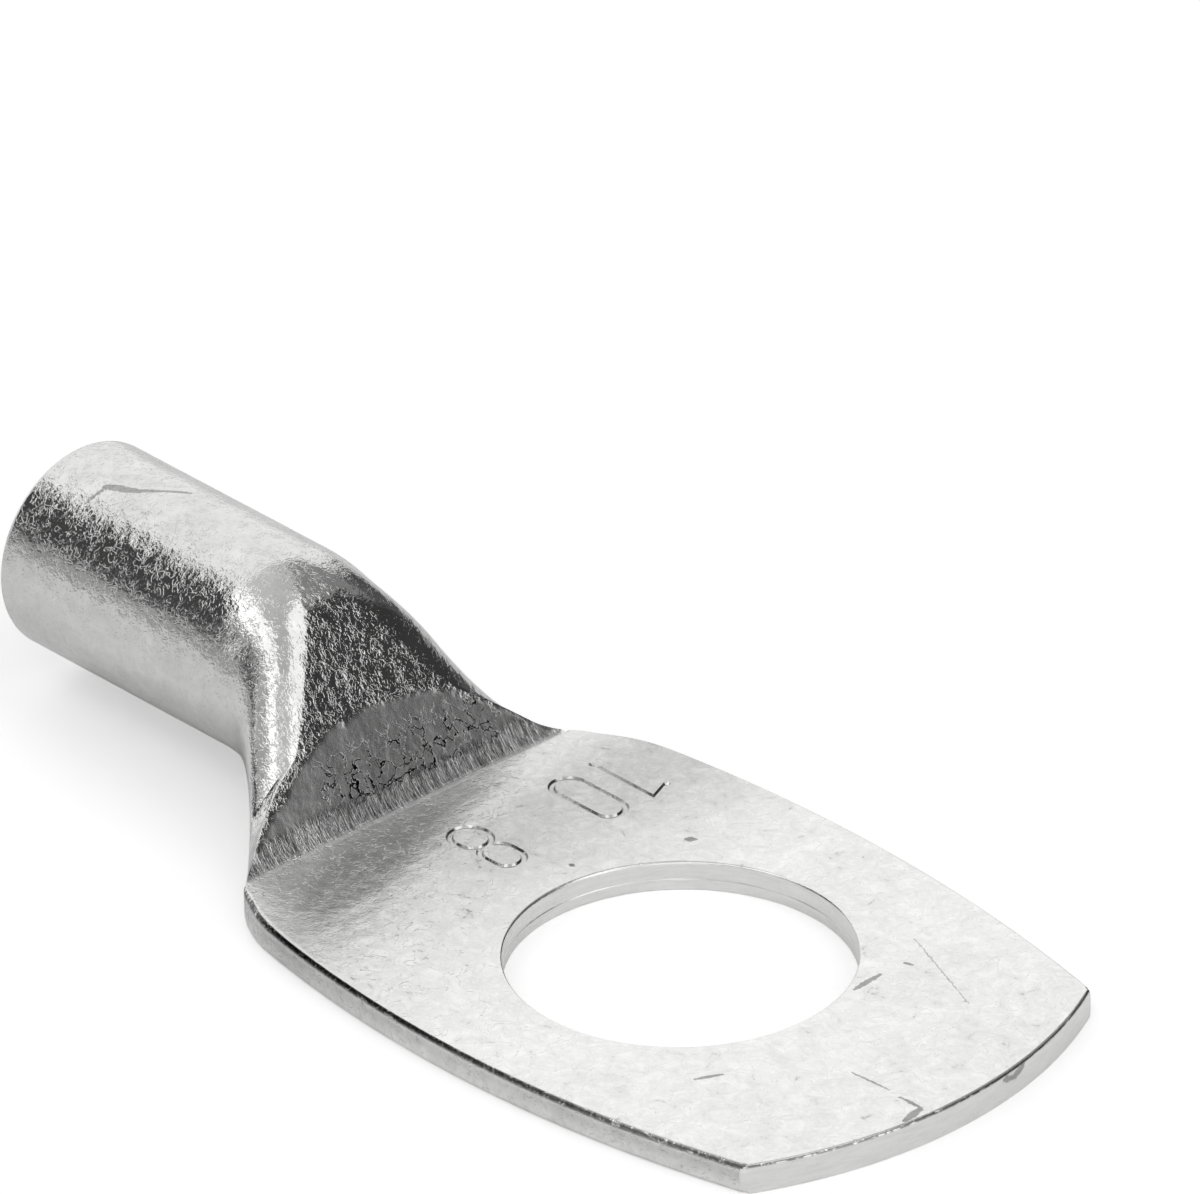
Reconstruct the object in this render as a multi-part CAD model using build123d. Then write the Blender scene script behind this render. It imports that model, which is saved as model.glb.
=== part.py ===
from build123d import *
import math
import os

# Driving sizes, in millimetres and degrees. The lug is pressed from one length of tube.
# The origin is the stud hole's centre on the palm's underside. +X points to the tip, +Z up the hole.

# Barrel, where the tube is left round
tube_diameter = 6.6
tube_wall = 0.92
barrel_lift = 0.78             # the barrel's underside above the palm's
stud_to_mouth = 26.3
mouth_rounding = 0.2           # outer edge of the mouth
lead_in_depth = 0.55           # the turned lead-in for the cable
lead_in_wall = 0.34            # what the lead-in leaves of the wall at the mouth

# Palm, where the tube is pressed flat
palm_thickness = 0.96
stud_hole_diameter = 10.5      # clearance for an M10 stud
stud_to_crease = 11.85
stud_to_tip = 11.7
near_spread = 1.92             # how far the near side, the one at -Y, stands out past the crease's end
far_spread = 1.99
near_side_radius = 42.0
far_side_radius = 52.0
widest_at = -1.5
tip_radius = 14.9
underside_rounding = 0.16

# The run from the neck's flare into the palm's long sides
crease_half_width = 6.58
flare_slope = 0.93             # sideways spread for each millimetre along the lug
flare_bend_radius = 4.5        # where the flare turns into the palm's long sides

# Neck, from the barrel to the palm
press_slope = 62.0             # the pressed facet's angle to the palm
shoulder_radius = 3.2          # where the barrel's top turns down into the facet
foot_radius = 1.5              # where the facet runs out towards the palm
crease_angle = 35.0            # what is left of the slope at the crease
flare_softness = 0.5
neck_lead = 0.8                # the barrel starts to change shape this far before the shoulder
neck_stations = 16             # sections of the neck, and of the hollow in it
first_flat = 0.15              # half width of the flat that starts on the barrel
shoulder_fullness = 0.534      # control length of the round shoulders, as a share of their reach
neck_edge_step = 0.03          # the neck meets the palm this far inside its edge

# Inside the neck
cavity_stop = 0.6              # the walls meet this far before the crease
cavity_last_height = 0.2

# Seam between the two pressed walls, seen in the stud hole and on the cut end
seam_height = 0.36
seam_gap = 0.06
seam_depth = 0.05

# Stamped figures
stamp_depth = 0.1
stamp_line = 0.2
figure_height = 2.75
figure_width = 1.05
figure_foot_at = -9.85
one_at = 5.6
nought_at = 4.2
eight_at = 0.1
one_flag_run = 0.85
one_flag_drop = 0.35
eight_waist = 0.47             # share of the figure's height where its two loops meet

# Worked out from the sizes above
tube_radius = tube_diameter / 2
bore_radius = tube_radius - tube_wall
axis_height = barrel_lift + tube_radius
barrel_top = barrel_lift + tube_diameter
mouth_x = -stud_to_mouth
crease_x = -stud_to_crease
near_half_width = crease_half_width + near_spread
far_half_width = crease_half_width + far_spread
slope = math.radians(press_slope)
last_slope = math.radians(crease_angle)
foot_centre_x = crease_x + foot_radius * math.sin(last_slope)
foot_centre_z = palm_thickness + foot_radius * math.cos(last_slope)
foot_top_x = foot_centre_x - foot_radius * math.sin(slope)
foot_top_z = foot_centre_z - foot_radius * math.cos(slope)
turn_x = foot_top_x - (barrel_top - foot_top_z) / math.tan(slope)
shoulder_run = shoulder_radius * math.tan(slope / 2)
shoulder_start_x = turn_x - shoulder_run
shoulder_end_x = turn_x + shoulder_run * math.cos(slope)
neck_start_x = shoulder_start_x - neck_lead
neck_length = crease_x - shoulder_start_x


def facet_height(x):
    """Height of the facet in side view: the barrel's top, an arc, a straight slope and an arc."""
    if x < shoulder_start_x:
        return barrel_top
    if x < shoulder_end_x:
        return barrel_top - shoulder_radius + math.sqrt(shoulder_radius**2 - (x - shoulder_start_x) ** 2)
    if x < foot_top_x:
        return foot_top_z + (foot_top_x - x) * math.tan(slope)
    return foot_centre_z - math.sqrt(foot_radius**2 - (foot_centre_x - x) ** 2)


def progress(x):
    """0 where the barrel's top starts to turn down, 1 at the crease."""
    return min(max((x - shoulder_start_x) / neck_length, 0), 1)


def underside_height(x):
    """The barrel's underside eases down to the palm's before the crease."""
    eased = min(progress(x) / 0.7, 1)
    return barrel_lift * (1 - eased * eased * (3 - 2 * eased))


def side_half_width(x):
    """The sides run along the barrel, then flare out at a steady slope up to the crease."""
    last = crease_half_width - neck_edge_step
    flare_start_x = crease_x - (last - tube_radius) / flare_slope

    def eased_run(place):
        run = place - flare_start_x
        return (run + math.sqrt(run**2 + flare_softness**2)) / 2

    return tube_radius + (last - tube_radius) * eased_run(x) / eased_run(crease_x)


def across(x, top, bottom, side, closing):
    """An outline across the neck: flat top, two shoulders, two lower corners and a flat bottom."""
    t = progress(x)
    rise = (top - bottom) / 2
    middle = (top + bottom) / 2
    spread = min(rise * (0.99 + 0.06 * t), side - first_flat)
    shoulder = spread * (1 - 0.8 * closing)
    corner = spread * (1 - 0.3 * closing)
    ridge = side - shoulder
    heel = side - corner
    upper = [
        (x, ridge, top),
        (x, ridge + shoulder * (shoulder_fullness - 0.3 * t), top),
        (x, side, middle + rise * (shoulder_fullness - 0.1 * t)),
        (x, side, middle),
    ]
    lower = [
        (x, side, middle),
        (x, side, middle - rise * (shoulder_fullness - 0.1 * t)),
        (x, heel + corner * shoulder_fullness, bottom),
        (x, heel, bottom),
    ]

    def other_side(points):
        return [(px, -py, pz) for px, py, pz in reversed(points)]

    edges = [
        Line((x, -ridge, top), (x, ridge, top)),
        Bezier(*upper),
        Bezier(*lower),
        Line((x, heel, bottom), (x, -heel, bottom)),
        Bezier(*other_side(lower)),
        Bezier(*other_side(upper)),
    ]
    return Face(Wire(edges))


def neck_outline(x):
    closing = max(progress(x) - 0.85, 0) / 0.15
    return across(x, facet_height(x), underside_height(x), side_half_width(x), closing)


def cavity_outline(x):
    height = facet_height(x) - underside_height(x)
    wall = min(tube_wall, (height - cavity_last_height) / 2)
    return across(x, facet_height(x) - wall, underside_height(x) + wall, side_half_width(x) - wall, 0)


def spaced(first, last, count):
    return [first + (last - first) * i / (count - 1) for i in range(count)]


def along_x(radius, start, end):
    """A round bar on the barrel's axis."""
    disc = Plane(origin=(start, 0, axis_height), z_dir=(1, 0, 0)) * Circle(radius)
    return extrude(disc, end - start)


def barrel():
    bar = along_x(tube_radius, mouth_x, neck_start_x)
    rim = bar.edges().filter_by(lambda e: e.center().X < mouth_x + 0.001)
    return fillet(rim, mouth_rounding)


def neck():
    stations = [neck_start_x] + spaced(shoulder_start_x, crease_x, neck_stations)
    return loft([neck_outline(x) for x in stations])


def bend_radius(corner):
    """The flare's bend into a long side, limited by the straight run that the flare has before it."""
    side_radius = far_side_radius if corner.Y > 0 else near_side_radius
    turn = math.atan(flare_slope) - math.asin((widest_at - corner.X) / side_radius)
    run = math.dist((corner.X, abs(corner.Y)), (crease_x, crease_half_width))
    return min(flare_bend_radius, 0.95 * run / math.tan(turn / 2))


def palm():
    """The palm's outline is four arcs and the flare, cut from flat metal with a rounded underside."""
    far_side = Pos(widest_at, far_half_width - far_side_radius) * Circle(far_side_radius)
    near_side = Pos(widest_at, near_side_radius - near_half_width) * Circle(near_side_radius)
    tip = Pos(stud_to_tip - tip_radius, 0) * Circle(tip_radius)
    flare_run = max(near_half_width, far_half_width) / flare_slope
    flare_end_x = crease_x + flare_run
    flare_end_y = crease_half_width + flare_slope * flare_run
    flare = make_face(Polyline(
        (crease_x, -crease_half_width), (flare_end_x, -flare_end_y), (stud_to_tip + 1, -flare_end_y),
        (stud_to_tip + 1, flare_end_y), (flare_end_x, flare_end_y), (crease_x, crease_half_width),
        close=True))
    outline = far_side & near_side & tip & flare
    bends = outline.vertices().filter_by(lambda v: crease_x + 0.1 < v.X < widest_at)
    outline = fillet(bends, min(bend_radius(corner) for corner in bends))
    plate = extrude(outline, palm_thickness)
    low_edges = plate.edges().filter_by(
        lambda e: e.center().Z < 0.001 and e.bounding_box().max.X > crease_x + 0.001)
    return fillet(low_edges, underside_rounding)


def cable_space():
    """The bore, its lead-in, and the hollow that narrows to a slit inside the neck."""
    bore = along_x(bore_radius, mouth_x - 1, neck_start_x)
    mouth_plane = Plane(origin=(mouth_x, 0, axis_height), z_dir=(1, 0, 0))
    wide = mouth_plane * Circle(tube_radius - lead_in_wall)
    narrow = mouth_plane.offset(lead_in_depth) * Circle(bore_radius)
    lead_in = loft([wide, narrow])
    last_x = crease_x - cavity_stop
    stations = [neck_start_x] + spaced(shoulder_start_x, last_x, neck_stations)
    hollow = loft([cavity_outline(x) for x in stations])
    return bore + lead_in + hollow


def seam():
    """A shallow groove where the two pressed walls meet, round the hole and along the cut end."""
    hole_ring = Cylinder(stud_hole_diameter / 2 + seam_depth, seam_gap,
                         align=(Align.CENTER, Align.CENTER, Align.MIN))
    outside = Cylinder(tip_radius + 1, seam_gap, align=(Align.CENTER, Align.CENTER, Align.MIN))
    inside = Cylinder(tip_radius - seam_depth, seam_gap, align=(Align.CENTER, Align.CENTER, Align.MIN))
    end_ring = Pos(stud_to_tip - tip_radius, 0, 0) * (outside - inside)
    front = Pos(stud_to_tip, 0, 0) * Box(tip_radius / 2, 4 * far_half_width, palm_thickness * 4)
    return Pos(0, 0, seam_height) * (hole_ring + (end_ring & front))


def ring_stroke(centre_x, centre_y, height, width):
    """A stadium-shaped loop, its long side along X where the height is more than the width."""
    loop = RectangleRounded(height, width, min(height, width) / 2 - 0.01)
    return Pos(centre_x, centre_y) * (offset(loop, stamp_line / 2) - offset(loop, -stamp_line / 2))


def line_stroke(start, end):
    middle = ((start[0] + end[0]) / 2, (start[1] + end[1]) / 2)
    length = math.dist(start, end)
    turn = math.degrees(math.atan2(end[1] - start[1], end[0] - start[0]))
    return Pos(*middle) * Rot(0, 0, turn) * RectangleRounded(length + stamp_line, stamp_line, stamp_line / 2 - 0.01)


def figures():
    """Plain figures, read with the tip upwards: a ten for the stud and an eight."""
    head = figure_foot_at + figure_height
    stem = line_stroke((figure_foot_at, one_at), (head, one_at))
    flag = line_stroke((head, one_at), (head - one_flag_drop, one_at + one_flag_run))
    nought = ring_stroke(figure_foot_at + figure_height / 2, nought_at, figure_height, figure_width)
    lower = figure_height * eight_waist
    lower_loop = ring_stroke(figure_foot_at + lower / 2, eight_at, lower, figure_width * 1.1)
    upper_loop = ring_stroke(figure_foot_at + (figure_height + lower) / 2, eight_at,
                             figure_height - lower, figure_width)
    marks = stem + flag + nought + lower_loop + upper_loop
    return extrude(Pos(0, 0, palm_thickness - stamp_depth) * marks, stamp_depth * 2)


def cable_lug():
    body = barrel() + neck() + palm()
    stud_hole = Cylinder(stud_hole_diameter / 2, palm_thickness * 4)
    return body - cable_space() - stud_hole - seam() - figures()


os.makedirs("parts", exist_ok=True)
lug = cable_lug()
export_step(lug, "parts/cable_lug.step")
print("volume", round(lug.volume, 2), "solids", len(lug.solids()), "valid", lug.is_valid)
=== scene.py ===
import math

import bmesh
import bpy
from mathutils import Matrix, Vector


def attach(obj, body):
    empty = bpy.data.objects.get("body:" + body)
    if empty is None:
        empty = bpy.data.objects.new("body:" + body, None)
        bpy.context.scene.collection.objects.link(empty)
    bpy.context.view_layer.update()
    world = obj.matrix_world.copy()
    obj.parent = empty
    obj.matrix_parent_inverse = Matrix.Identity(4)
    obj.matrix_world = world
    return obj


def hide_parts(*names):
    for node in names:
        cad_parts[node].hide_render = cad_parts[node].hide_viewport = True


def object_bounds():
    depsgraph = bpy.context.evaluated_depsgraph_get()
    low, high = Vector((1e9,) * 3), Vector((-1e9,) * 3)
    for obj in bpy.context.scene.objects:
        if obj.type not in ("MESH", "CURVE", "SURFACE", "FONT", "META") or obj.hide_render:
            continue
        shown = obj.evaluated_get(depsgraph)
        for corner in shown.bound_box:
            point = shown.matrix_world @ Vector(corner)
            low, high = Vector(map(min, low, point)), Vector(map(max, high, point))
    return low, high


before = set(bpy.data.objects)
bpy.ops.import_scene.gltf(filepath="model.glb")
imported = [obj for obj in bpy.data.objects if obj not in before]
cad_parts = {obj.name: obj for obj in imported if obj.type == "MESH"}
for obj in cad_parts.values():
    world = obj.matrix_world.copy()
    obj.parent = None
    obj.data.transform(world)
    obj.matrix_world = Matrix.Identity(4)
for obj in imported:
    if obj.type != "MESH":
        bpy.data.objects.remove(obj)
cad_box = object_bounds()

# The shapes are worked out in millimetres, in the part's own frame, and turned to metres at the end.
MILLIMETRE = 0.001

# The part's driving sizes
tube_diameter = 6.6
tube_wall = 0.92
barrel_lift = 0.78
stud_to_mouth = 26.3
mouth_rounding = 0.2
lead_in_depth = 0.55
lead_in_wall = 0.34
palm_thickness = 0.96
stud_hole_diameter = 10.5
stud_to_crease = 11.85
stud_to_tip = 11.696
near_half_width = 8.496
far_half_width = 8.565
near_side_radius = 42.0
far_side_radius = 52.0
widest_at = -1.5
tip_radius = 14.9
near_crease_half_width = 6.58
far_crease_half_width = 6.56
flare_slope = 0.93
flare_bend_radius = 4.4
press_slope = math.radians(62)
shoulder_radius = 3.5
foot_radius = 1.5
crease_slope = math.radians(35)
flare_run = 4.4
flare_growth = 1.65
facet_reach = 6.2
facet_growth = 2.4
folding_from = 0.76
near_folding = (0.85, 0.55)
far_folding = (0.6, 1.0)
round_handle = 0.5523
top_flattening = 0.7
most_flattening = 0.42
low_flattening = 0.1
crest_margin = 0.1
heel_growth = 0.06
heel_shrinking = 0.3
heel_shrinking_run = (0.15, 0.55)
heel_folding = 0.6
underside_down_at = 0.7
cavity_stop = 0.6
cavity_last_height = 0.2
stamp_depth = 0.065
stamp_line = 0.23
stamp_floor = 0.12
figure_height = 2.75
figure_width = 1.05
figure_foot_at = -9.85
one_at = 5.6
nought_at = 4.2
eight_at = 0.1
one_flag_run = 0.85
one_flag_drop = 0.35
eight_waist = 0.47
eight_foot_width = 1.155
seam_height = 0.36
seam_gap = 0.06
seam_depth = 0.016

# Edges, finer than the part's source gives them
underside_rounding = 0.18
cut_edge_rounding = 0.05
die_roll = 0.12
side_rounding = 0.2
fold_rounding = 0.29
pinched_rounding = 0.1
rounding_drop = 1.7
corner_rounding = 0.16
low_rim_rounding = 0.05
high_rim_rounding = 0.09

# Small margins between points, and where a finish starts
smallest_step = 0.03
edge_margin = 0.05
arc_margin = 0.004
past_lead_in = 0.2
top_crease_margin = 0.12
low_crease_margin = 0.3
cutter_lift = 0.1
tip_face_from = 8.5
flared_inside = 3

# How finely the skin is divided
curve_steps = 40
half_count = 80
neck_steps = 84
barrel_steps = 24
mouth_steps = 6
bore_steps = 9
hollow_steps = 34
bend_steps = 14
side_steps = 90
tip_steps = 72
crease_steps = 64
corner_steps = 4
figure_steps = 14
flare_spacing = 0.15
closest_points = 0.1
top_rings = 9
bottom_rings = 5
top_steps = 8
bottom_steps = 6
low_rim_steps = 4
high_rim_steps = 5
seam_points = 3
merge_distance = 0.0005
cutter_merge_distance = 0.0001
sharpest_smooth = math.radians(28)
sharpest_smooth_by_figures = math.radians(4)

# How far up a flat face's normal points at least, and an upright face's at most
flat_above = 0.999
upright_below = 0.6

# Worked out from the sizes above
tube_radius = tube_diameter / 2
bore_radius = tube_radius - tube_wall
stud_radius = stud_hole_diameter / 2
axis_height = barrel_lift + tube_radius
barrel_top = barrel_lift + tube_diameter
mouth_x = -stud_to_mouth
crease_x = -stud_to_crease
foot_centre_x = crease_x + foot_radius * math.sin(crease_slope)
foot_centre_z = palm_thickness + foot_radius * math.cos(crease_slope)
foot_top_x = foot_centre_x - foot_radius * math.sin(press_slope)
foot_top_z = foot_centre_z - foot_radius * math.cos(press_slope)
turn_x = foot_top_x - (barrel_top - foot_top_z) / math.tan(press_slope)
shoulder_run = shoulder_radius * math.tan(press_slope / 2)
shoulder_start_x = turn_x - shoulder_run
shoulder_end_x = turn_x + shoulder_run * math.cos(press_slope)
neck_length = crease_x - shoulder_start_x
near_side = (near_crease_half_width, *near_folding)
far_side = (far_crease_half_width, *far_folding)
neck_inside_from = crease_x - 6.5


def between(value, low, high):
    """0 up to low, 1 from high on, and a smooth run between them."""
    share = min(max((value - low) / (high - low), 0), 1)
    return share * share * (3 - 2 * share)


def spaced(first, last, count):
    return [first + (last - first) * i / (count - 1) for i in range(count)]


# Sections across the barrel and the neck

def facet_height(x):
    """Height of the pressed facet in side view: the barrel's top, an arc, a slope and an arc."""
    if x < shoulder_start_x:
        return barrel_top
    if x < shoulder_end_x:
        return barrel_top - shoulder_radius + math.sqrt(shoulder_radius**2 - (x - shoulder_start_x) ** 2)
    if x < foot_top_x:
        return foot_top_z + (foot_top_x - x) * math.tan(press_slope)
    return foot_centre_z - math.sqrt(foot_radius**2 - (foot_centre_x - x) ** 2)


def progress(x):
    """0 where the barrel's top starts to turn down, 1 at the crease."""
    return min(max((x - shoulder_start_x) / neck_length, 0), 1)


def underside_height(x):
    return barrel_lift * (1 - between(progress(x), 0, underside_down_at))


def side_half_width(x, flank):
    """The sides run along the barrel, then flare out ever faster up to the crease, the near one further."""
    share = min(max((x - crease_x) / flare_run + 1, 0), 1)
    return tube_radius + (flank[0] - tube_radius) * share**flare_growth


def folding(x):
    """0 until shortly before the crease, where the sides fold flat, and 1 at the crease."""
    return max(progress(x) - folding_from, 0) / (1 - folding_from)


def facet_half_width(x, flank):
    """The facet widens from nothing at the shoulder, and takes up nearly the whole width at the crease.
    The near side folds flat sooner than the far side."""
    _, share, growth = flank
    width = facet_reach * progress(x) ** facet_growth
    return width + (side_half_width(x, flank) - width) * share * folding(x) ** growth


def bezier(points, steps):
    a, b, c, d = points
    curve = []
    for i in range(steps + 1):
        t = i / steps
        s = 1 - t
        curve.append(tuple(
            s**3 * a[k] + 3 * s * s * t * b[k] + 3 * s * t * t * c[k] + t**3 * d[k] for k in (0, 1)))
    return curve


def half_section(x, wall, flank):
    """Half an outline across the lug, this far in from its outside, from its top's middle to its bottom's."""
    t = progress(x)
    top = facet_height(x) - wall
    bottom = underside_height(x) + wall
    side = side_half_width(x, flank) - wall
    rise = (top - bottom) / 2
    middle = (top + bottom) / 2
    crest = min(facet_half_width(x, flank), side - crest_margin * t)
    shoulder = side - crest
    corner = min(rise * (1 + heel_growth * t), side) * (1 - heel_shrinking * between(t, *heel_shrinking_run))
    corner = corner * (1 - heel_folding * folding(x))
    heel = side - corner
    fullness = round_handle - min(top_flattening * t**3, most_flattening)
    upper = bezier([
        (crest, top),
        (crest + shoulder * fullness, top),
        (side, middle + rise * fullness),
        (side, middle),
    ], curve_steps)
    lower = bezier([
        (side, middle),
        (side, middle - rise * (round_handle - low_flattening * t)),
        (heel + corner * round_handle, bottom),
        (heel, bottom),
    ], curve_steps)
    return [(0, top)] + upper + lower[1:] + [(0, bottom)]


def crowded(outline):
    """Points along an outline, evenly spaced where it is straight or round and close where it bends."""
    total = sum(math.dist(a, b) for a, b in zip(outline, outline[1:]))
    reach = [0.0]
    heading = 0.0
    for a, b in zip(outline, outline[1:]):
        length = math.dist(a, b)
        new_heading = math.atan2(b[1] - a[1], b[0] - a[0]) if length > 1e-9 else heading
        turn = abs(math.remainder(new_heading - heading, math.tau))
        heading = new_heading
        reach.append(reach[-1] + length / total + turn / math.pi)
    points = []
    k = 0
    for i in range(half_count + 1):
        goal = reach[-1] * i / half_count
        while k < len(reach) - 2 and reach[k + 1] < goal:
            k += 1
        step = reach[k + 1] - reach[k]
        share = min(max((goal - reach[k]) / step, 0), 1) if step > 1e-12 else 0
        a, b = outline[k], outline[k + 1]
        points.append((a[0] + (b[0] - a[0]) * share, a[1] + (b[1] - a[1]) * share))
    return points


def whole_section(x, wall):
    """An outline across the neck, from its top's middle by the far side round to the near side."""
    far, near = [crowded(half_section(x, wall, flank)) for flank in (far_side, near_side)]
    return far + [(-y, z) for y, z in near[-2::-1]]


def hollow_section(x):
    height = facet_height(x) - underside_height(x)
    return whole_section(x, min(tube_wall, (height - cavity_last_height) / 2))


def round_section(radius):
    angles = spaced(0, math.tau, 2 * half_count + 1)
    return [(radius * math.sin(angle), axis_height + radius * math.cos(angle)) for angle in angles]


# Building blocks

def laid_grid(bm, columns, rows, place, left_open=None):
    """A grid of faces, each of its points moved to where place(column, row) says.

    Faces whose lowest column and row left_open() names are taken out."""
    made = bmesh.ops.create_grid(bm, x_segments=columns, y_segments=rows, size=1)
    spot = {}
    for vert in made["verts"]:
        spot[vert] = (round((vert.co.x + 1) / 2 * columns), round((vert.co.y + 1) / 2 * rows))
    if left_open:
        faces = {face for vert in spot for face in vert.link_faces}
        gone = [face for face in faces if left_open(
            min(spot[vert][0] for vert in face.verts), min(spot[vert][1] for vert in face.verts))]
        bmesh.ops.delete(bm, geom=gone, context="FACES")
    for vert, (column, row) in spot.items():
        if vert.is_valid:
            vert.co = place(column, row)


def tube_skin(bm):
    """One skin, outside and inside, through all the tube's stations, each an x and an outline."""
    station_run = tube_stations()

    def place(column, row):
        x, outline = station_run[column]
        return Vector((x, *outline[row]))

    laid_grid(bm, len(station_run) - 1, 2 * half_count, place)


def tube_stations():
    """From the crease out to the mouth, round its edge, and back inside to the hollow's end."""
    stations = []
    for x in spaced(crease_x - edge_margin, shoulder_start_x, neck_steps):
        stations.append((x, whole_section(x, 0)))
    for x in spaced(shoulder_start_x, mouth_x + mouth_rounding + edge_margin, barrel_steps)[1:]:
        stations.append((x, round_section(tube_radius)))
    for angle in spaced(0, math.pi / 2, mouth_steps):
        x = mouth_x + mouth_rounding * (1 - math.sin(angle))
        radius = tube_radius - mouth_rounding * (1 - math.cos(angle))
        stations.append((x, round_section(radius)))
    lead_in_radius = tube_radius - lead_in_wall
    for x, radius in (
        (mouth_x, lead_in_radius + smallest_step),
        (mouth_x + smallest_step / 2, lead_in_radius),
        (mouth_x + lead_in_depth - smallest_step, bore_radius + smallest_step),
        (mouth_x + lead_in_depth + smallest_step, bore_radius),
    ):
        stations.append((x, round_section(radius)))
    for x in spaced(mouth_x + lead_in_depth + past_lead_in, shoulder_start_x, bore_steps):
        stations.append((x, round_section(bore_radius)))
    for x in spaced(shoulder_start_x, crease_x - cavity_stop, hollow_steps)[1:]:
        stations.append((x, hollow_section(x)))
    return stations


# The palm's outline, read from the far tip corner round by the crease to the near tip corner

def circles_meet(first, first_radius, second, second_radius, upper):
    """Where two circles cross, the crossing with the larger or the smaller y."""
    gap = math.dist(first, second)
    along = (first_radius**2 - second_radius**2 + gap**2) / (2 * gap)
    aside = math.sqrt(first_radius**2 - along**2)
    ux, uy = (second[0] - first[0]) / gap, (second[1] - first[1]) / gap
    crossings = []
    for off in (aside, -aside):
        crossings.append((first[0] + ux * along - uy * off, first[1] + uy * along + ux * off))
    return (max if upper else min)(crossings, key=lambda p: p[1])


def arc_points(centre, radius, start, end, count):
    first = math.atan2(start[1] - centre[1], start[0] - centre[0])
    turn = math.remainder(math.atan2(end[1] - centre[1], end[0] - centre[0]) - first, math.tau)
    return [(centre[0] + radius * math.cos(first + turn * i / count),
             centre[1] + radius * math.sin(first + turn * i / count)) for i in range(count + 1)]


def line_points(start, end, count):
    return [(start[0] + (end[0] - start[0]) * i / count, start[1] + (end[1] - start[1]) * i / count)
            for i in range(count + 1)]


def long_side(half_width, side_radius, crease_half_width):
    """From the crease out along the flare, round its bend and down the long side to the tip, at +y."""
    length = math.hypot(1, flare_slope)
    along = (1 / length, flare_slope / length)
    inwards = (along[1], -along[0])
    corner = (crease_x, crease_half_width)
    centre = (widest_at, half_width - side_radius)
    base = (corner[0] + inwards[0] * flare_bend_radius, corner[1] + inwards[1] * flare_bend_radius)
    offset = (base[0] - centre[0], base[1] - centre[1])
    b = along[0] * offset[0] + along[1] * offset[1]
    c = offset[0] ** 2 + offset[1] ** 2 - (side_radius - flare_bend_radius) ** 2
    run = -b + math.sqrt(b * b - c)
    bend_centre = (base[0] + along[0] * run, base[1] + along[1] * run)
    flare_end = (corner[0] + along[0] * run, corner[1] + along[1] * run)
    scale = side_radius / (side_radius - flare_bend_radius)
    side_start = tuple(centre[k] + (bend_centre[k] - centre[k]) * scale for k in (0, 1))
    tip_corner = circles_meet(centre, side_radius, (stud_to_tip - tip_radius, 0), tip_radius, True)
    bend = arc_points(bend_centre, flare_bend_radius, flare_end, side_start, bend_steps)[:-1]
    return (line_points(corner, flare_end, math.ceil(run / flare_spacing))[:-1]
            + (bend if run > closest_points else bend[1:])
            + arc_points(centre, side_radius, side_start, tip_corner, side_steps))


def rounded_corner(before, corner, after):
    """A short curve in place of a corner."""
    curve = []
    for i in range(corner_steps + 1):
        t = i / corner_steps
        curve.append(tuple(
            (1 - t) ** 2 * before[k] + 2 * t * (1 - t) * corner[k] + t * t * after[k] for k in (0, 1)))
    return curve


def towards(start, end, distance):
    gap = math.dist(start, end)
    return tuple(start[k] + (end[k] - start[k]) * distance / gap for k in (0, 1))


def palm_outline():
    """The outline as one open run of points from the crease's far end, round the tip, to its near end,
    then the points along the crease between the two ends."""
    far = long_side(far_half_width, far_side_radius, far_crease_half_width)
    near = [(x, -y) for x, y in long_side(near_half_width, near_side_radius, near_crease_half_width)]
    tip_centre = (stud_to_tip - tip_radius, 0)
    tip = arc_points(tip_centre, tip_radius, far[-1], near[-1], tip_steps)
    far_corner = rounded_corner(
        towards(far[-1], far[-2], corner_rounding), far[-1], towards(tip[0], tip[1], corner_rounding))
    near_corner = rounded_corner(
        towards(tip[-1], tip[-2], corner_rounding), near[-1], towards(near[-1], near[-2], corner_rounding))
    run = far[:-1] + far_corner + tip[1:-1] + near_corner + near[-2::-1]
    crease = line_points(near[0], far[0], crease_steps)[1:-1]
    return run, crease


def outward_normals(outline):
    """For each point of a closed clockwise outline, the way out, lengthened at corners as a mitre is."""
    normals = []
    count = len(outline)
    for i, point in enumerate(outline):
        before, after = outline[i - 1], outline[(i + 1) % count]
        ways = []
        for a, b in ((before, point), (point, after)):
            length = math.dist(a, b)
            ways.append(((a[1] - b[1]) / length, (b[0] - a[0]) / length))
        spread = 1 + ways[0][0] * ways[1][0] + ways[0][1] * ways[1][1]
        normals.append(((ways[0][0] + ways[1][0]) / spread, (ways[0][1] + ways[1][1]) / spread))
    return normals


def top_edge_rounding(x, at_tip):
    """How far the top edge's rounding reaches across and down. The cut tip's is small. The folded sides
    are pinched at the crease, round just past it, and less round along the palm."""
    if at_tip:
        return die_roll, die_roll
    fold_starts, fold_ends = crease_x + 0.8, crease_x + 3.6
    past_pinch = between(x, crease_x, fold_starts)
    in_fold = past_pinch * (1 - between(x, fold_starts, fold_ends))
    across = (pinched_rounding + (side_rounding - pinched_rounding) * past_pinch
              + (fold_rounding - side_rounding) * in_fold)
    return across, across * rounding_drop


def quarter(across, down, steps):
    """A quarter round as how far in from the wall and how far down from the face."""
    return [(across * (1 - math.sin(a)), down * (1 - math.cos(a))) for a in spaced(0, math.pi / 2, steps)]


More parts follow.
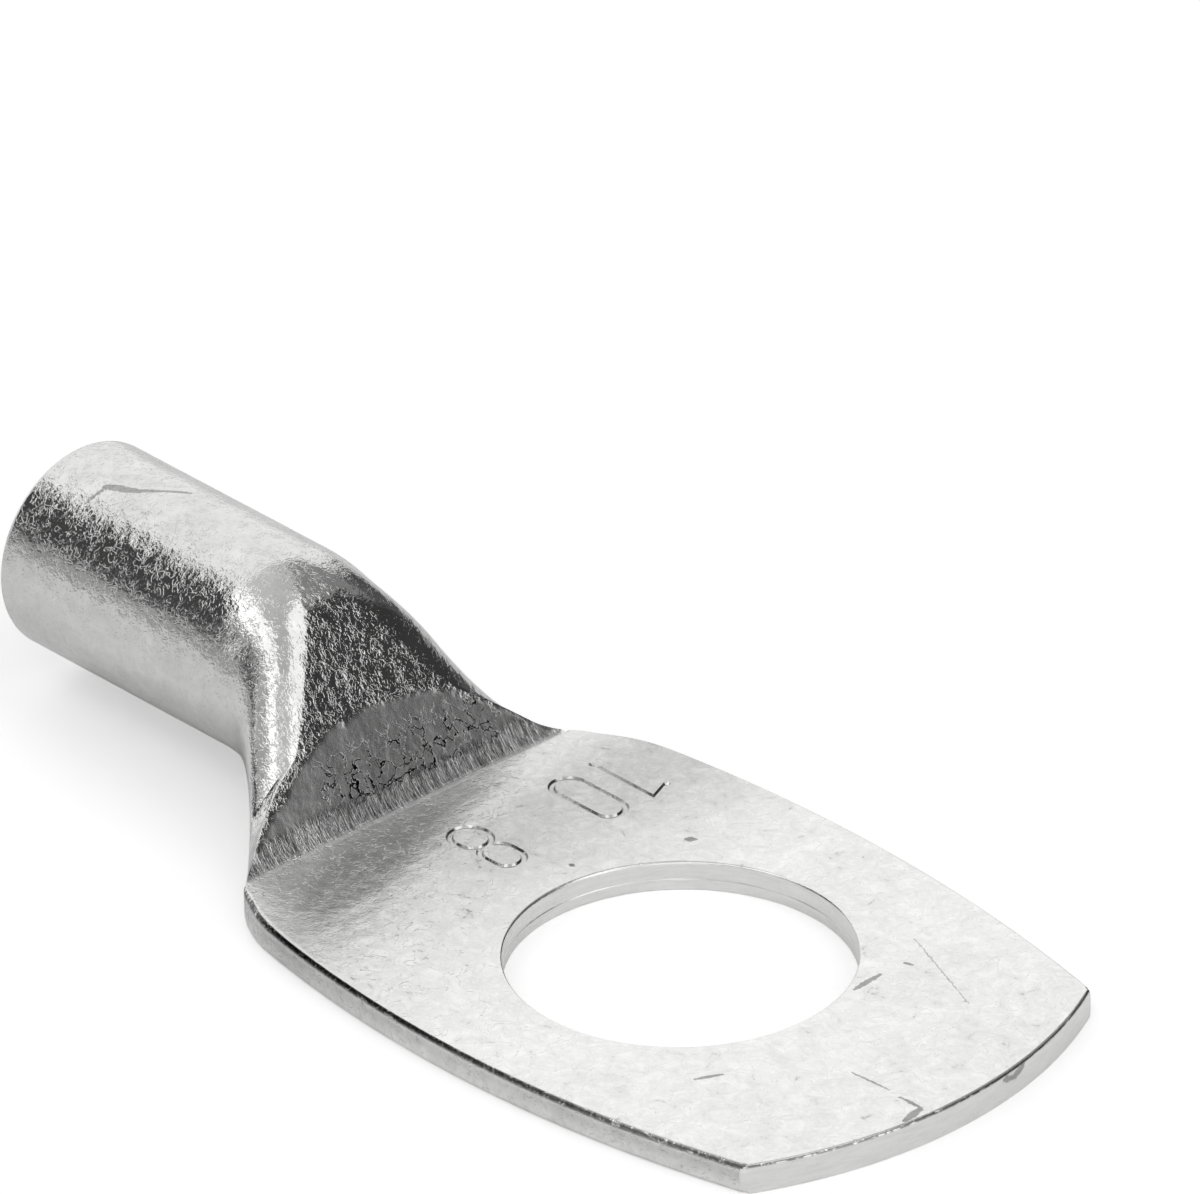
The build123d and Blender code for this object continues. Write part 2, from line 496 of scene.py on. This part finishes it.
def palm_profile(hole_point, edge_point, normal, at_tip, at_crease):
    """The palm's section from the foot of the hole's wall, over the top and round to the underside."""
    length = math.hypot(*hole_point)
    outwards = (hole_point[0] / length, hole_point[1] / length)

    def by_hole(back, z):
        return Vector((hole_point[0] + outwards[0] * back, hole_point[1] + outwards[1] * back, z))

    def by_edge(back, z):
        return Vector((edge_point[0] - normal[0] * back, edge_point[1] - normal[1] * back, z))

    top = palm_thickness
    low_rim, high_rim = low_rim_rounding, high_rim_rounding
    seam_bottom, seam_middle, seam_top = seam_height, seam_height + seam_gap / 2, seam_height + seam_gap
    profile = [by_hole(back, down) for back, down in quarter(low_rim, low_rim, low_rim_steps)]
    profile += [by_hole(0, seam_bottom), by_hole(seam_depth, seam_middle), by_hole(0, seam_top)]
    high_quarter = quarter(high_rim, high_rim, high_rim_steps)
    profile += [by_hole(back, top - down) for back, down in reversed(high_quarter)]
    inner = by_hole(high_rim + edge_margin, top)
    profile.append(inner)
    across, drop = top_edge_rounding(edge_point[0], at_tip)
    outer = by_edge(top_crease_margin if at_crease else across + edge_margin, top)
    for i in range(1, top_rings):
        profile.append(inner.lerp(outer, i / top_rings))
    profile.append(outer)
    if at_crease:
        profile += [by_edge(0, top)] * top_steps
        profile += [by_edge(0, 0)] * (seam_points + bottom_steps)
        low_outer = by_edge(low_crease_margin, 0)
    else:
        profile += [by_edge(back, top - down) for back, down in quarter(across, drop, top_steps)]
        low_radius = cut_edge_rounding if at_tip else underside_rounding
        low_quarter = quarter(low_radius, low_radius, bottom_steps)
        profile += [by_edge(0, seam_top), by_edge(0, seam_middle), by_edge(0, seam_bottom)]
        profile += [by_edge(back, down) for back, down in reversed(low_quarter)]
        low_outer = by_edge(low_radius + edge_margin, 0)
    low_inner = by_hole(low_rim + edge_margin, 0)
    profile.append(low_outer)
    for i in range(1, bottom_rings):
        profile.append(low_outer.lerp(low_inner, i / bottom_rings))
    profile.append(low_inner)
    profile.append(profile[0].copy())
    return profile


def palm_skin(bm):
    """The palm as a ring of sections round the stud hole, left open where it meets the neck."""
    run, crease = palm_outline()
    outline = run + crease
    normals = outward_normals(outline)
    tip_centre = (stud_to_tip - tip_radius, 0)
    far_centre = (widest_at, far_half_width - far_side_radius)
    tip_limit = circles_meet(tip_centre, tip_radius, far_centre, far_side_radius, True)[0] - edge_margin
    on_arc = tip_radius - arc_margin
    profiles = []
    for i, point in enumerate(outline):
        reach = math.hypot(*point)
        hole_point = (point[0] * stud_radius / reach, point[1] * stud_radius / reach)
        at_tip = math.dist(point, tip_centre) > on_arc and point[0] > tip_limit
        profiles.append(palm_profile(hole_point, point, normals[i], at_tip, i >= len(run)))
    profiles.append(profiles[0])
    wall_points = top_steps + seam_points + bottom_steps
    wall_start = len(profiles[0]) - 2 - (bottom_rings + 1) - wall_points
    wall_end = wall_start + wall_points - 1
    laid_grid(
        bm, len(outline), len(profiles[0]) - 1, lambda column, row: profiles[column][row],
        lambda column, row: column >= len(run) - 1 and wall_start <= row < wall_end)


def join_skins(bm):
    """Closes the hollow's end and joins the neck to the palm along the crease."""
    past_hollow_x = crease_x - cavity_stop + smallest_step
    open_edges = [edge for edge in bm.edges if edge.is_boundary]
    slit = [edge for edge in open_edges if edge.verts[0].co.x < past_hollow_x]
    crease = [edge for edge in open_edges if edge.verts[0].co.x > past_hollow_x]
    bmesh.ops.holes_fill(bm, edges=slit)
    bmesh.ops.bridge_loops(bm, edges=crease)
    bmesh.ops.recalc_face_normals(bm, faces=bm.faces)


# Stamped figures, each stroke a flat-bottomed groove with sloped walls

def stadium(centre_x, centre_y, height, width):
    """A closed loop with straight long sides along x and round ends."""
    radius = width / 2
    reach = height / 2 - radius
    loop = []
    for centre, start in ((centre_x + reach, -math.pi / 2), (centre_x - reach, math.pi / 2)):
        angles = [start + math.pi * i / figure_steps for i in range(figure_steps + 1)]
        loop += [(centre + radius * math.cos(angle), centre_y + radius * math.sin(angle)) for angle in angles]
    return loop


def groove_cutter(name, path, closed):
    """A bar along the path, narrower below, which cuts a groove with sloped walls into the palm's top."""
    wall_run = (stamp_line - stamp_floor) / 2
    lift = cutter_lift
    narrow = stamp_floor / 2
    wide = narrow + wall_run * (1 + lift / stamp_depth)
    section = [(wide, lift), (narrow, -stamp_depth), (-narrow, -stamp_depth), (-wide, lift), (wide, lift)]
    stations = []
    count = len(path)
    for i, point in enumerate(path):
        before = path[i - 1] if closed or i else point
        after = path[(i + 1) % count] if closed or i < count - 1 else point
        gap = math.dist(before, after)
        stations.append((point, ((after[0] - before[0]) / gap, (after[1] - before[1]) / gap), 1))
    if closed:
        stations.append(stations[0])
    else:
        for way in (-1, 1):
            (x, y), (along_x, along_y), _ = stations[0] if way < 0 else stations[-1]
            end = (x + along_x * way * wide, y + along_y * way * wide)
            stations.insert(0 if way < 0 else len(stations), (end, (along_x, along_y), 0))

    def place(column, row):
        (x, y), (along_x, along_y), full = stations[column]
        aside, rise = section[row]
        if not full:
            aside, rise = 0, lift
        return Vector((x - along_y * aside, y + along_x * aside, palm_thickness + rise))

    bm = bmesh.new()
    laid_grid(bm, len(stations) - 1, len(section) - 1, place)
    bmesh.ops.remove_doubles(bm, verts=bm.verts, dist=cutter_merge_distance)
    bmesh.ops.recalc_face_normals(bm, faces=bm.faces)
    return linked(name, bm)


def figure_strokes():
    """A ten and an eight, read with the tip upwards."""
    head = figure_foot_at + figure_height
    lower = figure_height * eight_waist
    upper = figure_height - lower
    return [
        (line_points((figure_foot_at, one_at), (head, one_at), 8), False),
        (line_points((head, one_at), (head - one_flag_drop, one_at + one_flag_run), 4), False),
        (stadium(figure_foot_at + figure_height / 2, nought_at, figure_height, figure_width), True),
        (stadium(figure_foot_at + lower / 2, eight_at, lower, eight_foot_width), True),
        (stadium(head - upper / 2, eight_at, upper, figure_width), True),
    ]


def linked(name, bm):
    mesh = bpy.data.meshes.new(name)
    bm.to_mesh(mesh)
    bm.free()
    piece = bpy.data.objects.new(name, mesh)
    bpy.context.scene.collection.objects.link(piece)
    return piece


def stamped(piece):
    """Cuts the figures one stroke at a time."""
    for number, (path, closed) in enumerate(figure_strokes()):
        cutter = groove_cutter(f"stroke_{number}", path, closed)
        cut = piece.modifiers.new("stamp", "BOOLEAN")
        cut.operation = "DIFFERENCE"
        cut.solver = "EXACT"
        cut.object = cutter
        bpy.context.view_layer.update()
        evaluated = piece.evaluated_get(bpy.context.evaluated_depsgraph_get())
        result = bpy.data.meshes.new_from_object(evaluated)
        piece.modifiers.clear()
        piece.data = result
        bpy.data.objects.remove(cutter)
    piece.data.name = piece.name


def by_figures(edge):
    """True where a stamped stroke's wall meets the palm's flat top or the stroke's flat floor."""
    middle = (edge.verts[0].co + edge.verts[1].co) / 2 / MILLIMETRE
    margin = 1.0
    return (figure_foot_at - margin < middle.x < figure_foot_at + figure_height + margin / 2
            and eight_at - margin < middle.y < one_at + one_flag_run + margin / 2
            and middle.z > palm_thickness / 2
            and any(face.normal.z > flat_above for face in edge.link_faces))


def shade_smooth(piece):
    """Smooth faces, with sharp edges kept crisp, and the figures' edges even where they are blunt."""
    bm = bmesh.new()
    bm.from_mesh(piece.data)
    bm.normal_update()
    for face in bm.faces:
        face.smooth = True
    for edge in bm.edges:
        limit = sharpest_smooth_by_figures if by_figures(edge) else sharpest_smooth
        edge.smooth = edge.calc_face_angle(0) < limit
    bm.to_mesh(piece.data)
    bm.free()


def make_lug():
    bm = bmesh.new()
    for add_skin in (tube_skin, palm_skin):
        add_skin(bm)
        bmesh.ops.remove_doubles(bm, verts=bm.verts, dist=merge_distance)
    join_skins(bm)
    lug = linked("pressed_lug", bm)
    stamped(lug)
    lug.data.transform(Matrix.Scale(MILLIMETRE, 4))
    shade_smooth(lug)
    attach(lug, "root")
    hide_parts("cable_lug")
    return lug


# Shader maths in plain expressions

class Value:
    """A number or vector that a node gives, ready for arithmetic."""

    def __init__(self, shader, socket):
        self.shader = shader
        self.socket = socket

    def math(self, operation, *others):
        inputs = {0: self}
        for index, other in enumerate(others):
            inputs[index + 1] = other
        return self.shader.node("ShaderNodeMath", {"operation": operation}, inputs)

    def __add__(self, other):
        return self.math("ADD", other)

    __radd__ = __add__

    def __mul__(self, other):
        return self.math("MULTIPLY", other)

    __rmul__ = __mul__

    def __sub__(self, other):
        return self.math("SUBTRACT", other)

    def __rsub__(self, other):
        return self.shader.node("ShaderNodeMath", {"operation": "SUBTRACT"}, {0: other, 1: self})

    def __abs__(self):
        return self.math("ABSOLUTE")

    def clamped(self):
        return self.shader.node("ShaderNodeClamp", {}, {0: self})

    def rising(self, low, high):
        """0 up to low, 1 from high on, with a smooth run between them."""
        return self.shader.node(
            "ShaderNodeMapRange", {"interpolation_type": "SMOOTHSTEP"},
            {0: self, 1: low, 2: high, 3: 0.0, 4: 1.0})


class Shader:
    """The node tree of a material or of the world."""

    def __init__(self, owner):
        owner.use_nodes = True
        self.tree = owner.node_tree
        self.tree.nodes.clear()

    def node(self, kind, settings, inputs, output=0):
        """Adds a node with its settings and its inputs, and gives one of its outputs."""
        made = self.tree.nodes.new(kind)
        for name, value in settings.items():
            setattr(made, name, value)
        for name, value in inputs.items():
            if isinstance(value, Value):
                self.tree.links.new(value.socket, made.inputs[name])
            else:
                made.inputs[name].default_value = value
        return Value(self, made.outputs[output]) if made.outputs else None

    def coordinates(self, kind, scale=1.0):
        place = self.node("ShaderNodeTexCoord", {}, {}, kind)
        return self.node("ShaderNodeVectorMath", {"operation": "SCALE"}, {0: place, "Scale": scale})

    def part(self, vector, axis):
        return self.node("ShaderNodeSeparateXYZ", {}, {0: vector}, axis)

    def noise(self, vector, scale, detail=2.0, roughness=0.5, distortion=0.0):
        return self.node("ShaderNodeTexNoise", {}, {
            "Vector": vector, "Scale": scale, "Detail": detail,
            "Roughness": roughness, "Distortion": distortion})

    def mix(self, share, first, second):
        """Between two numbers."""
        return self.node(
            "ShaderNodeMix", {"data_type": "FLOAT"}, {"Factor": share, "A": first, "B": second})

    def stretched(self, vector, factors):
        return self.node("ShaderNodeVectorMath", {"operation": "MULTIPLY"}, {0: vector, 1: factors})


# Marks left by handling, each a start, an end and a half width, in millimetres along x and y
palm_marks = [
    ((5.05, 2.24), (4.96, 3.37), 0.09),
    ((4.98, 4.34), (5.22, 4.42), 0.06),
    ((5.47, -4.59), (5.83, -3.81), 0.06),
    ((-4.66, 4.62), (-4.5, 4.78), 0.14),
    ((-6.0, 1.15), (-5.88, 1.17), 0.09),
    ((4.2, 5.5), (7.95, 4.08), 0.008),
    ((8.37, -1.04), (9.85, -0.93), 0.03),
    ((10.36, -0.99), (11.25, -0.97), 0.06),
    ((11.23, -0.98), (11.42, -1.8), 0.13),
]
tip_dents = [
    ((2.05, 0.78), (2.6, 0.62), 0.1),
    ((2.5, 0.66), (3.0, 0.8), 0.12),
]
tube_scratch = [
    ((-24.12, -1.62), (-24.0, -0.85), 0.05),
    ((-24.05, -0.88), (-23.0, -0.47), 0.13),
    ((-23.1, -0.5), (-22.5, -0.03), 0.07),
    ((-22.6, -0.1), (-21.87, 0.6), 0.05),
]


# Where the wear, the painted shade and the painted edge reflections set in and where they are full, along one
# axis, in millimetres
foot_fade = (0.72, 1.1)
facet_top_fade = (-16.8, -15.4)
facet_middle = 1.2
facet_side_fade = (4.2, 3.2)
crazed_middle = 0.9
crazed_side_fade = (3.8, 3.0)
scratched_height_fade = (5.0, 5.5)
side_wall_fade = (0.92, 0.6)
onwards_fade = (-9.0, -1.0)
figures_along_fade = (-4.0, -8.5)
figures_across_fade = (-3.0, 2.5)
figures_middle = 3.0
figures_side_fade = (3.78, 3.83)
edge_reflection_top_fade = (0.952, 0.93)
edge_reflection_low_fade = (0.75, 0.86)
tip_face_fade = (8.0, 8.5)
tip_reflection_top_fade = (0.958, 0.935)
tip_reflection_low_fade = (0.85, 0.9)
pressed_edge = -13.75
pressed_half_width = 6.2
combed_edge = -12.2
crazed_start = -13.1
crazed_end = -12.3


def tin(shader, tone, roughness, height, depth):
    """Bright tin of this tone, with a relief of this height map and depth in millimetres."""
    colour = shader.node("ShaderNodeMix", {"data_type": "RGBA"}, {
        "Factor": tone, "A": (0, 0, 0, 1), "B": (1, 1, 0.992, 1)}, "Result")
    bump = shader.node("ShaderNodeBump", {}, {
        "Strength": 1.0, "Distance": depth * MILLIMETRE, "Height": height}, "Normal")
    surface = shader.node("ShaderNodeBsdfPrincipled", {}, {
        "Base Color": colour, "Metallic": 1.0, "Roughness": roughness, "Normal": bump})
    shader.node("ShaderNodeOutputMaterial", {}, {"Surface": surface})


def started(name):
    """A new material's shader, the place on the lug in millimetres and its three parts."""
    material = bpy.data.materials.new(name)
    shader = Shader(material)
    place = shader.coordinates("Object", 1 / MILLIMETRE)
    return material, shader, place, [shader.part(place, axis) for axis in "XYZ"]


def marks(x, y, strokes):
    """Where short marks lie, each a start, an end and a half width: 1 on them and 0 off them."""
    covered = 0.0
    for (start_x, start_y), (end_x, end_y), half_width in strokes:
        run_x, run_y = end_x - start_x, end_y - start_y
        length_squared = run_x**2 + run_y**2
        share_x, share_y = run_x / length_squared, run_y / length_squared
        along = ((x - start_x) * share_x + (y - start_y) * share_y).clamped()
        off_x, off_y = x - start_x - along * run_x, y - start_y - along * run_y
        gap = (off_x * off_x + off_y * off_y).math("SQRT")
        narrowing = along * (1 - along) * 2.0 + 0.5
        inside = (narrowing * half_width - gap).rising(-0.03, 0.02)
        covered = inside.math("MAXIMUM", covered)
    return covered


def strokes(shader, place, scale):
    """Short curved scratches: thin lines where one noise crosses its middle, broken up by another."""
    line = 1 - abs(shader.noise(place, scale, 1.0, 0.5, 0.4) - 0.5).rising(0.0, scale * 0.012)
    return line * shader.noise(place, scale * 0.6 + 0.37, 1.0).rising(0.51, 0.57)


def plated_tube():
    """The tube's tumbled and plated outside, with the press marks on the facet above the crease."""
    material, shader, place, (x, y, z) = started("plated_tube")
    scratches = strokes(shader, place, 3.3) + strokes(shader, place, 4.9) + strokes(shader, place, 7.1) * 0.6
    swell = shader.noise(place, 2.1, 3.0, 0.6)
    patches = shader.noise(place, 0.5, 3.0, 0.6, 0.4)
    mottle = shader.noise(place, 1.5, 5.0, 0.7, 0.3)
    dust = shader.noise(place, 11.0, 2.0, 0.7)

    over_foot = z.rising(*foot_fade)
    patch_edge = (y * y) * 0.035 + patches * 0.5 + pressed_edge
    pressed_side = (pressed_half_width - abs(y)).rising(-0.2, 0.3)
    pressed = (x - patch_edge).rising(-0.05, 0.12) * pressed_side * over_foot
    last_run = (x - combed_edge + patches * 0.3).rising(-0.12, 0.12) * over_foot

    combed = shader.noise(shader.stretched(place, (0.6, 9.5, 0.6)), 1.0, 4.0, 0.8, 0.2)

    bent = shader.node("ShaderNodeVectorMath", {"operation": "MULTIPLY_ADD"}, {
        0: shader.node("ShaderNodeTexNoise", {}, {"Vector": place, "Scale": 1.6, "Detail": 4.0}, "Color"),
        1: (1.3, 1.3, 1.3), 2: place})
    cell_edge = shader.node("ShaderNodeTexVoronoi", {"feature": "DISTANCE_TO_EDGE"}, {
        "Vector": bent, "Scale": 1.9}, "Distance")
    crazed_run = (x - crazed_start).rising(-0.1, 0.2) * (x - crazed_end).rising(0.1, -0.1)
    crazed_run = crazed_run * abs(y - crazed_middle).rising(*crazed_side_fade) * over_foot
    crazed = cell_edge.rising(0.07, 0.025) * crazed_run * mottle.rising(0.43, 0.5)
    wobble = (dust - 0.5) * 0.3
    scraped = marks(x + wobble, y + wobble, tube_scratch) * z.rising(*scratched_height_fade)

    facet = x.rising(*facet_top_fade) * abs(y - facet_middle).rising(*facet_side_fade) * over_foot
    rough = (1 - facet * 0.45) * (1 - pressed * 0.9 * (1 - last_run) - last_run * 0.5)
    relief = (dust * 0.25 - scratches * 0.22) * rough + combed * last_run * 0.5 - crazed * 0.6
    relief = relief + swell * 1.6 * (1 - pressed * 0.8) + patches * 1.2 - scraped * 1.0
    tone = 0.78 + (mottle - 0.5) * 0.35 + (patches - 0.5) * 0.16 + (dust - 0.5) * 0.1 * rough
    tone = tone - facet * 0.1 - crazed * 0.7 - scraped * 0.38 - scratches * 0.05 * rough
    tone = tone + ((combed - 0.5) * 2.3 - 0.14) * last_run
    roughness = 0.07 + pressed * 0.15 * (1 - last_run)
    tin(shader, tone, roughness, relief, 0.02)
    return material


def coined_palm():
    """The palm, flattened smooth between the dies, scratched and pitted, stained and darkened with painted
    shade past the crease on the near side, lightened with painted light where it mirrors the neck past the
    crease, with painted shade on its side walls and a painted dark reflection along its top edge.
    """
    material, shader, place, (x, y, z) = started("coined_palm")
    clouds = shader.noise(place, 0.45, 4.0, 0.6, 0.5)
    mottle = shader.noise(place, 1.9, 6.0, 0.75, 0.6)
    fine = shader.noise(place, 8.0, 3.0, 0.7)
    scratches = strokes(shader, place, 2.6) + strokes(shader, place, 4.4)
    hairs = abs(shader.noise(place, 1.1, 3.0, 0.55, 0.8) - 0.5)
    hair_line = hairs.rising(0.014, 0.003) * mottle.rising(0.5, 0.58)
    past_crease = 1 - (x - crease_x + (clouds - 0.5) * 2.4).rising(0.0, 2.8)
    # Stain and painted shade: past the crease on the near side the palm is a little darker, partly from
    # stains and partly as painted shade, and more scratched.
    stain_and_painted_shade = past_crease * (1.5 - y + (clouds - 0.5) * 4.0).rising(-4.5, 4.0)
    specks = mottle.rising(0.37, 0.31)
    wobble = (fine - 0.5) * 0.16
    onwards = x.rising(*onwards_fade)
    worn = marks(x + wobble, y + wobble, palm_marks)
    side_wall = z.rising(*side_wall_fade)
    round_figures = x.rising(*figures_along_fade) * (y + clouds * 3.0).rising(*figures_across_fade)
    off_figures = abs(y - figures_middle).rising(*figures_side_fade)
    broken = (mottle + (fine - 0.5) * 0.8).rising(0.3, 0.5)
    # Painted reflection: a broken dark line along the rounding of the palm's top edge, standing in for the
    # dark board that the rounding mirrors.
    dark_edge_reflection = z.rising(*edge_reflection_top_fade) * z.rising(*edge_reflection_low_fade) * broken * off_figures
    # Painted light: past_crease lifts the tone where the palm mirrors the dark neck.
    tone = 0.75 + onwards * 0.15 + past_crease * 0.22 + (clouds - 0.5) * 0.2 + (mottle - 0.5) * 0.6
    tone = tone - stain_and_painted_shade * 0.04 - round_figures * 0.15 - specks * 0.2
    tone = tone - hair_line * 0.09 - worn * 0.5 - scratches * (0.015 + side_wall * 0.03)
    # Painted shade: the side walls are darker towards their top and a little lighter at their foot, standing
    # in for the shaded floor they mirror.
    tone = tone - side_wall * (z.rising(0.1, 0.75) * 0.26 - 0.05) - dark_edge_reflection * 0.7
    relief = clouds * 1.6 + mottle * 0.5 + fine * (0.1 + side_wall * 0.4)
    relief = relief - scratches * (0.08 + stain_and_painted_shade * 0.5 + side_wall * 0.4)
    relief = relief - specks * 0.1 - hair_line * 0.2 - worn * 0.5
    tin(shader, tone, 0.13 + past_crease * 0.12, relief, 0.016)
    return material


def sheared_face():
    """The stud hole's wall and the tip's end, cut through, smeared over with tin."""
    material, shader, place, (x, y, z) = started("sheared_face")
    bands = shader.noise(shader.stretched(place, (1.0, 1.0, 7.0)), 1.1, 4.0, 0.6)
    grain = shader.noise(place, 7.0, 3.0, 0.7)
    by_tip = x.rising(*tip_face_fade)
    dents = marks(y + (grain - 0.5) * 0.3, z + (grain - 0.5) * 0.3, tip_dents) * by_tip
    dashes = shader.noise(place, 2.3, 3.0, 0.7).rising(0.4, 0.5)
    # Painted reflection: a dashed dark line along the rounding of the tip's top edge.
    dark_edge_reflection = z.rising(*tip_reflection_top_fade) * z.rising(*tip_reflection_low_fade) * dashes * by_tip
    tone = 0.96 + (bands - 0.5) * 0.3 + (grain - 0.5) * 0.12 - dents * 0.5 - dark_edge_reflection * 0.65
    tin(shader, tone, 0.3, bands * 0.8 + grain * 0.7 - dents * 1.5, 0.012)
    return material


def turned_lead_in():
    """The mouth's edge and lead-in, turned bright."""
    material, shader, place, (x, y, z) = started("turned_lead_in")
    off_axis = z - axis_height
    reach = (y * y + off_axis * off_axis).math("POWER", 0.5)
    rings = (reach * 95.0 + x * 60.0).math("SINE")
    uneven = shader.noise(place, 3.0, 3.0, 0.6)
    tin(shader, 0.84 + (uneven - 0.5) * 0.1, 0.16, rings * 0.25 + uneven, 0.01)
    return material


def drawn_bore():
    """The inside of the tube, dull, with the drawing lines running along it."""
    material, shader, place, (x, y, z) = started("drawn_bore")
    lines = shader.noise(shader.stretched(place, (0.25, 6.0, 6.0)), 1.0, 3.0, 0.6)
    dull = shader.noise(place, 1.2, 3.0, 0.6)
    tin(shader, 0.5 + (lines - 0.5) * 0.2 + (dull - 0.5) * 0.2, 0.5, lines + dull * 0.5, 0.02)
    return material


def face_finish(face):
    """Which of the finishes a face has, by where it lies and which way it looks. In millimetres."""
    centre = face.calc_center_median() / MILLIMETRE
    normal = face.normal
    from_axis = math.hypot(centre.y, centre.z - axis_height)
    if centre.x > crease_x:
        from_hole = math.hypot(centre.x, centre.y)
        from_tip_centre = math.hypot(centre.x - stud_to_tip + tip_radius, centre.y)
        upright = abs(normal.z) < upright_below
        by_hole = from_hole < stud_radius + die_roll
        by_tip = centre.x > tip_face_from and from_tip_centre > tip_radius - die_roll
        return sheared_face if upright and (by_hole or by_tip) else coined_palm
    if centre.x < mouth_x + lead_in_depth + edge_margin and from_axis < tube_radius - mouth_rounding / 2:
        return turned_lead_in
    inwards = normal.y * centre.y + normal.z * (centre.z - axis_height) < 0
    in_bore = centre.x < crease_x - flared_inside and from_axis < bore_radius + edge_margin
    return drawn_bore if inwards and (in_bore or is_inside(centre)) else plated_tube


def is_inside(point):
    """True well within the neck's outside."""
    flank = far_side if point.y > 0 else near_side
    slope_allowance, side_allowance = 0.15, 0.3
    low = underside_height(point.x) + slope_allowance
    high = facet_height(point.x) - slope_allowance
    widest = min(
        side_half_width(point.x, flank) - edge_margin, facet_half_width(point.x, flank) + side_allowance)
    return point.x >= neck_inside_from and low < point.z < high and abs(point.y) < widest


def finish_lug(lug):
    finishes = [plated_tube, coined_palm, sheared_face, turned_lead_in, drawn_bore]
    lug.data.materials.clear()
    for finish in finishes:
        lug.data.materials.append(finish())
    bm = bmesh.new()
    bm.from_mesh(lug.data)
    bm.normal_update()
    for face in bm.faces:
        face.material_index = finishes.index(face_finish(face))
    bm.to_mesh(lug.data)
    bm.free()


def make_floor():
    half_size = 3.0
    tone = 0.94
    lift_for_camera = 0.37
    bm = bmesh.new()
    bmesh.ops.create_grid(bm, x_segments=1, y_segments=1, size=half_size)
    bmesh.ops.translate(bm, verts=bm.verts, vec=(0, 0, cad_box[0].z))
    floor = linked("floor", bm)
    material = bpy.data.materials.new("floor_white")
    shader = Shader(material)
    paper = shader.node("ShaderNodeBsdfDiffuse", {}, {"Color": (tone, tone, tone, 1)})
    camera_ray = shader.node("ShaderNodeLightPath", {}, {}, "Is Camera Ray")
    lift = shader.node("ShaderNodeEmission", {}, {"Strength": camera_ray * lift_for_camera})
    surface = shader.node("ShaderNodeAddShader", {}, {0: paper, 1: lift})
    shader.node("ShaderNodeOutputMaterial", {}, {"Surface": surface})
    floor.data.materials.append(material)


def heading(azimuth, elevation):
    a, e = math.radians(azimuth), math.radians(elevation)
    return Vector((math.cos(a) * math.cos(e), math.sin(a) * math.cos(e), math.sin(e)))


def board(angles, centre, reach, softness):
    """1 on a board that stands off in one direction and 0 past its soft edges. All are in degrees."""
    inside = 1.0
    for angle, middle, half in zip(angles, centre, reach):
        inside = abs(angle - middle).rising(half + softness, half - softness) * inside
    return inside


def make_world():
    """White all round, with dark and grey boards that the metal mirrors."""
    world = bpy.data.worlds.new("studio")
    bpy.context.scene.world = world
    shader = Shader(world)
    view = shader.coordinates("Generated")
    x, y, z = [shader.part(view, axis) for axis in "XYZ"]
    degrees = 180 / math.pi
    by_compass = (y.math("ARCTAN2", x) * degrees, z.math("ARCSINE") * degrees)
    by_length = (z.math("ARCTAN2", x) * degrees, y.math("ARCSINE") * degrees)
    level = 0.95
    # Each board's kind of angles, centre, reach, softness and grey
    for angles, centre, reach, softness, grey in (
        (by_compass, (0, 90), (180, 27), 5, 0.78),
        (by_length, (68, -5), (54, 38), 4, 0.6),
        (by_length, (80, -30), (48, 8), 3, 1.4),
        (by_length, (47, 14), (34, 13), 3, 1.3),
        (by_length, (90, 60), (28, 30), 3, 0.28),
        (by_length, (90, 76), (96, 15), 3, 0.1),
        (by_length, (8, 60), (57, 30), 2, 0.05),
        (by_length, (80, -62), (46, 21), 4, 0.42),
        (by_compass, (-126, 57), (26, 8), 3, 1.4),
        (by_compass, (-130, 4), (26, 10), 5, 0.38),
        (by_compass, (-126, 24), (10, 12), 4, 0.18),
        (by_compass, (-150, 30), (21, 17), 3, 0.06),
    ):
        level = shader.mix(board(angles, centre, reach, softness), level, grey)
    camera_ray = shader.node("ShaderNodeLightPath", {}, {}, "Is Camera Ray")
    strength = shader.mix(camera_ray, level, 1.0)
    surface = shader.node("ShaderNodeBackground", {}, {"Color": (1, 1, 1, 1), "Strength": strength})
    shader.node("ShaderNodeOutputWorld", {}, {"Surface": surface})


def make_camera():
    """The photograph's own viewing angle, through a very long lens."""
    aim = Vector((-5.68, 2.215, 9.807)) * MILLIMETRE
    distance = 661.2 * MILLIMETRE
    azimuth, elevation, roll = -42.61, 30.075, -0.855
    data = bpy.data.cameras.new("camera")
    data.lens = 674.98
    data.sensor_width = 36.0
    data.clip_end = 100.0
    camera = bpy.data.objects.new("camera", data)
    camera.matrix_world = (
        Matrix.Translation(aim + heading(azimuth, elevation) * distance)
        @ Matrix.Rotation(math.radians(azimuth + 90), 4, "Z")
        @ Matrix.Rotation(math.radians(90 - elevation), 4, "X")
        @ Matrix.Rotation(math.radians(roll), 4, "Z"))
    bpy.context.scene.collection.objects.link(camera)
    bpy.context.scene.camera = camera


lug = make_lug()
finish_lug(lug)
make_floor()
make_world()
make_camera()
bpy.context.scene.view_settings.view_transform = "Standard"
